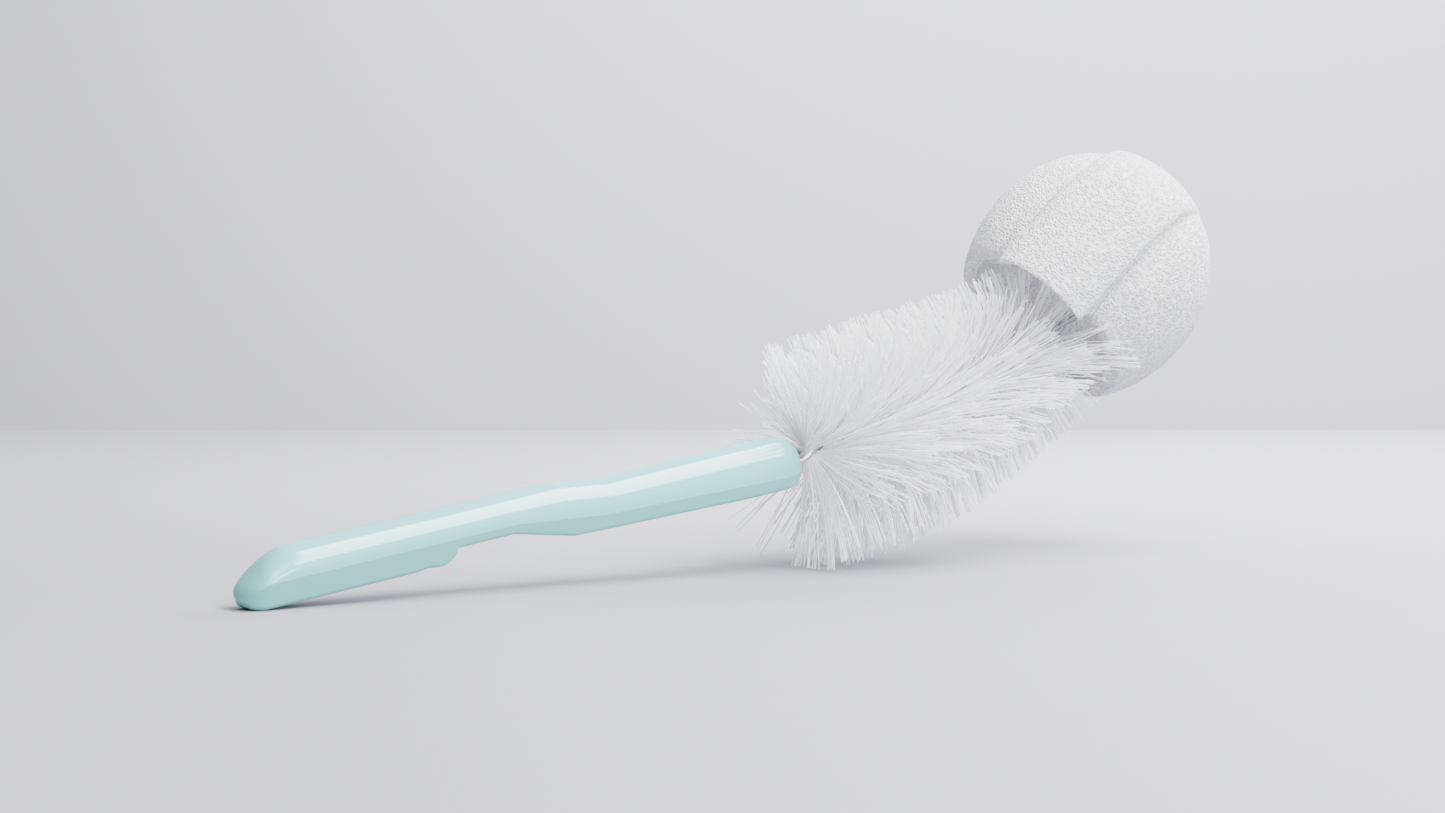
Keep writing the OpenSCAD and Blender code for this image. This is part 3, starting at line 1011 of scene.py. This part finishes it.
    def comb(self, along: Array, s: Array, turn: Array, first: Array) -> Array:
        """Comb the tips along the wire.

        Args:
            along: How far each tip leans along the wire by itself.
            s: Where each arm leaves the wire.
            turn: The arms' turns about the wire.
            first: How much each arm belongs to the first ones, from 0 to 1.

        Returns:
            How far each tip leans along the wire in all.
        """
        ways = (-np.sin(turn), -np.cos(turn), np.cos(turn))
        near, below, above = (np.clip(way, 0, 1) for way in ways)
        around = np.degrees(within(turn, 2 * np.pi))
        along = along + first * lookup(around, self.first_lean)
        last = np.maximum(0.0, 1.0 - (self.stem.bristle_end - s) / self.last_run)
        last = last**self.last_power
        side, low, high = self.last_lean
        along += last * (side * near + low * below + high * above)
        along += (1.0 - first) * lookup(around, self.combed)
        gather = self.gather[0] * below + self.gather[1] * above
        return along - gather * within(turn, np.pi) * self.stem.pitch / (2 * np.pi)

    def spines(self, number: int) -> tuple[Array, Array, Array]:
        """Draw the middle lines of one half turn's filament arms.

        Args:
            number: Which half turn, from 0.

        Returns:
            The lines as arms by rings by 3, each arm's radius and each arm's shade.
        """
        stem, n, uneven = self.stem, self.arms, self.uneven
        draw = np.random.default_rng(self.seed + number)
        s, turn = self.roots(number, draw)
        tip_turn, along = self.tufts(turn, draw)
        first = np.maximum(0.0, 1.0 - (s - stem.bare) / self.first_run) ** self.first_power
        along = self.comb(along, s, turn, first)
        reach = self.free_reach(s) - np.abs(draw.normal(0, uneven.worn, n))
        reach -= draw.uniform(0, uneven.cut, n)
        around = np.degrees(within(turn, 2 * np.pi))
        thinned = (around > self.thin_side[0]) & (around < self.thin_side[1])
        kept = draw.uniform(0, 1, n) > self.thin * first * thinned
        stray = draw.uniform(0, 1, n) < uneven.stray
        tip_turn += stray * draw.normal(0, uneven.stray_turn, n)
        along += stray * draw.normal(0, uneven.stray_lean, n)

        t = np.linspace(0.0, 1.0, self.rings + 1)[None, :]
        sway = draw.normal(0, uneven.sway, n)[:, None] * np.sin(np.pi * t)
        about, along_wire = self.bend_powers
        turns = turn[:, None] + (tip_turn - turn)[:, None] * t**about + sway
        out = self.root + (reach - self.root)[:, None] * t
        bow = draw.normal(0, uneven.bow, n)[:, None] * np.sin(np.pi * t)
        places = s[:, None] + 0 * t
        lines = (
            stem.point(places)
            + out[..., None] * stem.spoke(places, turns)
            + (along[:, None] * t**along_wire + bow)[..., None] * stem.ahead(places)
        )
        lines = self.press_up(lines, t, draw)
        lines, clear = self.sponge.clear_of_foam(lines, t)
        kept &= clear
        radius = self.radius * draw.uniform(*uneven.girth, n)
        shade = draw.uniform(0, 1, n) ** uneven.shade_power
        return lines[kept], radius[kept], shade[kept]

    def press_up(self, lines: Array, t: Array, draw: np.random.Generator) -> Array:
        """Bend what would reach below the ground along it.

        Args:
            lines: The arms' middle lines in the grip's frame.
            t: Share along each arm.
            draw: The random source.

        Returns:
            The bent lines.
        """
        limit = self.radius + self.ground_gap
        excess = np.maximum(limit - self.rest.height_of(lines)[:, -1], 0.0)[:, None]
        splay = draw.normal(0, self.uneven.splay, len(lines))[:, None] * excess
        lines = lines.copy()
        lines[..., 2] += excess * t**2
        lines[..., 1] += splay * t**2
        lines[..., 2] += np.maximum(limit - self.rest.height_of(lines), 0.0)
        return lines

    def build_turn(self, number: int, points: Array, faces: list[tuple[int, ...]]) -> None:
        """Bend copies of the one filament along the arms of a half turn.

        Args:
            number: Which half turn, from 0.
            points: The straight filament's points.
            faces: Its faces.
        """
        lines, radius, shade = self.spines(number)
        lines = self.rest.place(lines)
        ring = np.clip(np.rint(points[:, 2] * self.rings).astype(int), 0, self.rings)
        along = np.gradient(lines, axis=1)
        along /= np.linalg.norm(along, axis=-1, keepdims=True)
        guess = np.cross(along[:, :1], (0.31, 0.17, 0.93))  # any way that no arm points in
        guess = guess - (guess * along).sum(-1, keepdims=True) * along
        one = guess / np.linalg.norm(guess, axis=-1, keepdims=True)
        two = np.cross(along, one)
        thick = (radius * MM)[:, None, None]
        spots = (
            lines[:, ring]
            + thick * points[None, :, 0, None] * one[:, ring]
            + thick * points[None, :, 1, None] * two[:, ring]
        )
        name, count = f"bristle_turn_{number + 1:02d}", len(points)
        shifted = [
            tuple(v + k * count for v in face) for k in range(len(lines)) for face in faces
        ]
        mesh = bpy.data.meshes.new(name + "_filaments")
        mesh.from_pydata(spots.reshape(-1, 3).tolist(), [], shifted)
        shades = mesh.attributes.new(FILAMENT.attribute, "FLOAT", "POINT")
        shades.data.foreach_set("value", np.repeat(shade, count))
        piece = bpy.data.objects.new(mesh.name, mesh)
        bpy.context.scene.collection.objects.link(piece)
        smooth_below(piece, 75)
        dress(piece, FILAMENT, name)

    def build(self) -> None:
        """Model one filament, then every half turn from copies of it."""
        points, faces = self.filament()
        for number in range(self.stem.half_turns):
            self.build_turn(number, points, faces)


# ---- sponge -----------------------------------------------------------------


@dataclass(frozen=True)
class Petal:
    """One of the four petals."""

    narrow: bool  # whether it is one of the two parallel-sided petals
    length: float = 19.5  # length behind the widest place
    end_radius: float = 23.8  # radius at its free end
    rise: float = 0.0  # how far its middle stands proud of the round shape
    drop: float = 4.0  # how far its edges are rounded down
    curl: float = 0.0  # how much further its edge on the far side turns down


@dataclass
class Sponge(Part):
    """One piece of foam with four petals folded back over the end of the wire.

    The petals are in order, from the upper narrow one round over the far side.
    """

    radius: float = 29.0  # widest radius
    dome: float = 31.0  # length of the rounded end
    wall: float = 5.2  # thickness of the foam
    end_wall: float = 9.6  # thickness at the end, where it holds the wire
    narrow_width: float = 26.0  # width of the two narrow petals
    narrow_limit: float = math.radians(62.0)  # half their width, at most, near the far end
    turn: float = 46.0  # degrees of the upper narrow petal, from up towards the near side
    petals: Sequence[Petal] = (
        Petal(True, 26.0, 26.0, 2.0, 1.5, 2.8),
        Petal(False, rise=-1.2),
        Petal(True),
        Petal(False, drop=2.8),
    )
    relief_start: float = math.radians(75.0)  # how far round the dome the petals take shape
    edge_power: int = 4  # how close to a petal's edge its rounding keeps
    inner_relief: float = 0.3  # share of that shape that the inside follows
    end_undercut: float = 0.16  # share that the long petal's rim is cut back inside
    lift: float = 5.0  # how far its middle stands above the wire's line
    cock: float = math.radians(2.5)  # how much steeper than the wire it stands
    gap: float = 3.0  # from the last filament to the plain petals' ends
    pocket_lead: float = 8.0  # how far before the eye its pocket starts
    pocket_length: float = 15.1
    pocket_radius: float = 2.84
    slit_width: float = 0.16  # the petals lie edge to edge
    slit_end: float = 1.5  # how far ahead of the widest place the slits reach
    slit_spare: Pair = (5.0, 8.0)  # how far their cutters reach past the foam, behind and outside
    upper_half: Pair = (24.0, 43.0)  # half the upper petal in degrees: its crown, and all of it
    clear: Triple = (1.6, 1.0, 1.3)  # room for filaments inside, outside and behind the petals
    push_rounds: int = 4  # times that each filament is pushed off the foam
    push_back: float = 6.0  # how far back it is pushed each time, at most
    rows: int = 44  # rings from the far end to the rim
    columns: int = 40  # faces across a petal
    voxel: float = 0.58  # size of the faces once the skin is remeshed

    @property
    def plain(self) -> Petal:
        """The petal that the others are measured against."""
        return self.petals[1]

    @property
    def plain_axis(self) -> float:
        """Half axis of the plain petals' ellipse, behind the widest place."""
        return self.plain.length / math.sqrt(1 - (self.plain.end_radius / self.radius) ** 2)

    @cached_property
    def axes(self) -> tuple[Array, Array, Array]:
        """Work out where the sponge is, in the grip's frame.

        Returns:
            Its centre, its forward direction and its upward direction.
        """
        s = self.stem.bristle_end + self.gap + self.plain.length
        a = float(self.stem.angle(s)) + self.cock
        ahead = np.array([math.cos(a), 0.0, math.sin(a)])
        up = np.array([-math.sin(a), 0.0, math.cos(a)])
        centre = self.stem.point(np.array(s)) + self.lift * up + self.rest.aside * SIDE
        return centre, ahead, up

    def sector(self, number: int, along: Array, across: Array, inner: Array) -> Array:
        """Return points of one petal's part of the skin.

        Args:
            number: Which petal.
            along: Angles along the profile, 0 at the far end.
            across: Places over the petal, -1 to 1.
            inner: Whether each point is on the inside.

        Returns:
            Run, distance out and turn of each point.
        """
        petal, plain = self.petals[number], self.plain
        opening = (self.radius - petal.end_radius) / (self.radius - plain.end_radius)
        behind = along > np.pi / 2
        share = np.where(behind, 1 - opening * (1 - np.sin(along)), np.sin(along))
        sine = self.narrow_width / 2 / np.maximum(self.radius * share, TINY)
        half = np.minimum(self.narrow_limit, np.arcsin(np.minimum(1.0, sine)))
        half = half if petal.narrow else np.pi / 2 - half
        drop = petal.drop + np.where(across > 0, petal.curl, 0.0)
        relief = petal.rise - drop * np.abs(across) ** self.edge_power
        relief = relief * soft_step(along / self.relief_start)
        relief = np.where(inner, self.inner_relief * relief, relief)
        ahead_axis = np.where(inner, self.dome - self.end_wall, self.dome)
        behind_axis = self.plain_axis * petal.length / plain.length
        if petal.length > plain.length:
            behind_axis = np.where(inner, behind_axis * (1 - self.end_undercut), behind_axis)
        axis = np.where(behind, behind_axis, ahead_axis)
        out = (self.radius - np.where(inner, self.wall, 0.0) + relief) * share
        turn = math.radians(-self.turn) + np.pi / 2 * number + across * half
        return np.stack([axis * np.cos(along), out, turn], -1)

    def skin(self, ring: Array, column: Array) -> Array:
        """Lay a grid over the outer skin and then back over the inner one.

        Args:
            ring: Each point's ring.
            column: Its place in the ring.

        Returns:
            The points in the world.
        """
        centre, ahead, up = self.axes
        last = math.pi / 2 + math.asin(self.plain.length / self.plain_axis)
        arc = np.linspace(0.0, last, self.rows)
        along, inner = np.concatenate([arc, arc[::-1]])[ring], ring >= self.rows
        petal = column // self.columns
        across = -np.cos(np.pi * (column % self.columns + 0.5) / self.columns)
        out = np.zeros((len(ring), 3))
        for number in range(len(self.petals)):
            here = petal == number
            out[here] = self.sector(number, along[here], across[here], inner[here])
        spoke = np.cos(out[:, 2:]) * up + np.sin(out[:, 2:]) * SIDE
        return self.rest.place(centre + out[:, :1] * ahead + out[:, 1:2] * spoke)

    def foam_zone(self, lines: Array) -> tuple[Array, Array, Array, Array, Array]:
        """Measure points against the petals' free ends.

        Args:
            lines: Points in the grip's frame.

        Returns:
            Whether each point is at the upper petal, how far it runs into the foam, its distance
            out, and the distances of the inner and outer skin there.
        """
        centre, ahead, up = self.axes
        rel = lines - centre
        run, high, wide = rel @ ahead, rel @ up, rel @ SIDE
        out = np.maximum(np.hypot(high, wide), TINY)
        off = np.abs(within(np.degrees(np.arctan2(wide, high)) + self.turn, 360.0))
        upper = off < self.upper_half[1]
        length = np.where(upper, self.petals[0].length, self.plain.length)
        shares = [
            1 - (1 - petal.end_radius / self.radius) * np.clip(-run / petal.length, 0, 1) ** 2
            for petal in self.petals[:2]
        ]
        low = np.where(off < self.upper_half[0], shares[0], np.minimum(*shares))
        inside, outside, behind = self.clear
        inner = (self.radius - self.wall) * low - inside
        outer = np.where(upper, np.inf, self.radius * shares[1] + outside)
        over = (out > inner) & (out < outer)
        return upper, np.where(over, np.maximum(run + length + behind, 0.0), 0.0), out, inner, outer

    def clear_of_foam(self, lines: Array, t: Array) -> tuple[Array, Array]:
        """Keep filaments off the foam: under the upper petal, behind the others or over them.

        Args:
            lines: The arms' middle lines in the grip's frame.
            t: Share along each arm.

        Returns:
            The arms, and whether each one is clear.
        """
        centre, ahead, _up = self.axes
        for _ in range(self.push_rounds):
            upper, depth, out, inner, outer = self.foam_zone(lines)
            under = upper & (depth > 0) & (t > 0)
            fit = np.where(under, inner / out, 1.0).min(1)[:, None, None]
            lines = lines[:, :1] + (lines - lines[:, :1]) * fit
            upper, depth, out, inner, outer = self.foam_zone(lines)
            rel = lines - centre
            spoke = (rel - (rel @ ahead)[..., None] * ahead) / out[..., None]
            over = ~upper & (depth > 0) & (out > (inner + outer) / 2)
            lift = np.where(over, (outer - out) / np.maximum(t, 0.5) ** 2, 0.0).max(1)[:, None]
            lines = lines + (lift * t**2)[..., None] * spoke
            upper, depth, *_rest = self.foam_zone(lines)
            back = np.where(upper, 0.0, depth / np.maximum(t, 0.3) ** 1.5).max(1)[:, None]
            lines = lines - (np.minimum(back, self.push_back) * t**1.5)[..., None] * ahead
        return lines, ~(self.foam_zone(lines)[1] > 0).any(1)

    def build(self) -> None:
        """Model the foam cup, soften it and cut its slits and its pocket."""
        grid = (2 * self.rows, len(self.petals) * self.columns)
        piece = wrapped_grid("sponge_foam", *grid, self.skin)
        add_modifier(piece, "REMESH", mode="VOXEL", voxel_size=self.voxel * MM)
        add_modifier(piece, "SMOOTH", factor=0.5, iterations=4)
        for cutter in (self.slit_cutter(-1.0), self.slit_cutter(1.0), self.pocket_cutter()):
            add_modifier(
                piece, "BOOLEAN", operation="DIFFERENCE", solver="EXACT", object=cutter
            )
            bpy.data.objects.remove(cutter)
        smooth_below(piece, 50)
        dress(piece, FOAM, "sponge")

    def pocket_cutter(self) -> Piece:
        """Make the round that cuts the pocket for the wire's eye.

        Returns:
            The round.
        """
        eye = np.array(self.stem.eye)
        way = self.stem.ahead(eye)
        start = self.stem.point(eye) - self.pocket_lead * way
        ends = self.rest.place(np.stack([start, start + self.pocket_length * way]))
        deselect_all()
        bpy.ops.mesh.primitive_cylinder_add(
            vertices=32,
            radius=self.pocket_radius * MM,
            depth=self.pocket_length * MM,
            location=ends.mean(0),
            rotation=Vector(ends[1] - ends[0]).to_track_quat("Z", "Y").to_euler(),
        )
        return bpy.context.object

    def slit_cutter(self, hand: float) -> Piece:
        """Make the thin slab that cuts the slits on one side of the narrow petals.

        Args:
            hand: Which side: -1 or 1.

        Returns:
            The slab.
        """
        centre, ahead, up = self.axes
        turn, (behind, outside) = math.radians(self.turn), self.slit_spare
        tall = math.cos(turn) * up - math.sin(turn) * SIDE
        wide = math.sin(turn) * up + math.cos(turn) * SIDE
        start = -self.petals[0].length - behind
        deselect_all()
        bpy.ops.mesh.primitive_cube_add(size=1.0)
        slab = bpy.context.object
        for vertex in slab.data.vertices:
            x, y, z = vertex.co
            point = (
                centre
                + (start + (x + 0.5) * (self.slit_end - start)) * ahead
                + (hand * self.narrow_width / 2 + y * self.slit_width) * wide
                + z * 2 * (self.radius + outside) * tall
            )
            vertex.co = self.rest.place(point)
        return slab


# ---- studio -----------------------------------------------------------------


@dataclass(frozen=True)
class Lamp:
    """One soft lamp; places are right, forward and up from the camera's foot, in metres."""

    name: str
    place: Triple  # where it hangs
    aim: Triple  # what it points at
    size: Pair  # its two sides
    power: float  # watts
    wide_way: Triple = (1.0, 0.0, 0.0)  # direction of its first side


@dataclass
class Studio:
    """A pale floor, a pale backdrop, soft light and the camera, in metres."""

    eye: Triple = (-0.47315, -0.66539, 0.08844)  # where the camera stands
    heading: float = math.radians(-35.0)  # its turn about the vertical
    pitch: float = math.radians(3.577)  # how far it looks down
    lens: float = 90.0  # its focal length in millimetres
    sensor: float = 36.0  # width of its sensor in millimetres
    paper_size: float = 8.0
    floor_ahead: float = 0.8  # how far ahead of the camera the floor's middle is
    wall_distance: float = 1.281  # how far ahead the backdrop is
    wall_height: float = 3.9  # height of its middle
    wall_end: float = 0.40  # how far right it reaches, clear of a look from the side
    floor_colour: Triple = (0.255, 0.255, 0.29)
    wall_colour: Triple = (0.275, 0.275, 0.298)
    sky: Triple = (0.86, 0.88, 1.0)
    sky_strength: float = 0.2
    lamps: Sequence[Lamp] = (
        Lamp("strip", (0.5, 0.76, 0.8), (0.5, 0.76, 0.0), (0.84, 0.45), 46.0, (0.68, -0.73, 0.0)),
        Lamp("side", (0.58, 0.02, 0.42), (0.14, 0.85, 0.06), (0.5, 0.5), 19.0),
        Lamp("front", (0.12, 0.10, 0.90), (0.05, 0.84, 0.0), (0.9, 0.8), 18.0),
        Lamp("back", (0.32, 1.20, 0.32), (0.17, 0.87, 0.09), (0.3, 0.15), 6.0),
        Lamp("rear", (0.05, 1.00, 0.34), (0.05, 1.281, 0.16), (0.25, 0.12), 5.0),
    )

    def along_view(self, right: float, forward: float, up: float) -> Vector:
        """Return a world point, given from the camera's foot.

        Args:
            right: Distance to the camera's right.
            forward: Distance ahead of it.
            up: Height above the floor.

        Returns:
            The point in the world.
        """
        c, s = math.cos(self.heading), math.sin(self.heading)
        x, y, _z = self.eye
        return Vector((x + right * c - forward * s, y + right * s + forward * c, up))

    def paper(self, name: str, colour: Triple, middle: Vector, turn: Triple) -> Piece:
        """Lay or hang one sheet of plain matt paper.

        Args:
            name: Its name.
            colour: Its colour, linear.
            middle: Its middle.
            turn: How it is turned.

        Returns:
            The sheet.
        """
        deselect_all()
        bpy.ops.mesh.primitive_plane_add(size=self.paper_size, location=middle, rotation=turn)
        sheet = bpy.context.object
        sheet.name = name
        made = bpy.data.materials.new(name + "_paper")
        made.use_nodes = True
        matt = {"Base Color": (*colour, 1.0), "Roughness": 0.75, "Specular IOR Level": 0.25}
        set_inputs(made.node_tree.nodes["Principled BSDF"], matt)
        sheet.data.materials.append(made)
        return sheet

    def hang(self, lamp: Lamp) -> None:
        """Hang one soft lamp.

        Args:
            lamp: What and where it is.
        """
        deselect_all()
        start, end = self.along_view(*lamp.place), self.along_view(*lamp.aim)
        bpy.ops.object.light_add(type="AREA", location=start)
        light = bpy.context.object
        light.name = lamp.name
        back = (start - end).normalized()
        wide = self.along_view(*lamp.wide_way) - self.along_view(0, 0, 0)
        wide = (wide - wide.dot(back) * back).normalized()
        light.rotation_euler = Matrix((wide, back.cross(wide), back)).transposed().to_euler()
        light.data.shape = "RECTANGLE"
        light.data.size, light.data.size_y = lamp.size
        light.data.energy = lamp.power

    def build(self) -> None:
        """Set up the floor, the backdrop, the lamps, the sky and the camera."""
        below = self.along_view(0, self.floor_ahead, 0)
        left = self.wall_end - self.paper_size / 2
        behind = self.along_view(left, self.wall_distance, self.wall_height)
        upright = (math.pi / 2, 0, self.heading)
        floor = self.paper("floor", self.floor_colour, below, (0, 0, 0))
        wall = self.paper("backdrop", self.wall_colour, behind, upright)
        for lamp in self.lamps:
            self.hang(lamp)
        world = bpy.data.worlds.new("sky")
        bpy.context.scene.world = world
        world.use_nodes = True
        light = {"Color": (*self.sky, 1.0), "Strength": self.sky_strength}
        set_inputs(world.node_tree.nodes["Background"], light)
        deselect_all()
        look = (math.pi / 2 - self.pitch, 0, self.heading)
        bpy.ops.object.camera_add(location=self.eye, rotation=look)
        camera = bpy.context.object
        camera.data.sensor_width = self.sensor
        camera.data.lens = self.lens
        camera.data.clip_start = 0.05
        bpy.context.scene.camera = camera
        log.info("studio ready")


# ---- the whole brush --------------------------------------------------------


def main() -> None:
    """Build the brush from its tail to its sponge, then its studio."""
    stem = Stem()
    rest = Rest(stem)
    log.info("tilt %.3f degrees", math.degrees(rest.tilt))
    sponge = Sponge(stem, rest)
    for part in (Grip(stem, rest), TwistedWire(stem, rest), Bristle(stem, rest, sponge), sponge):
        part.build()
    Studio().build()


if __name__ == "__main__":
    main()
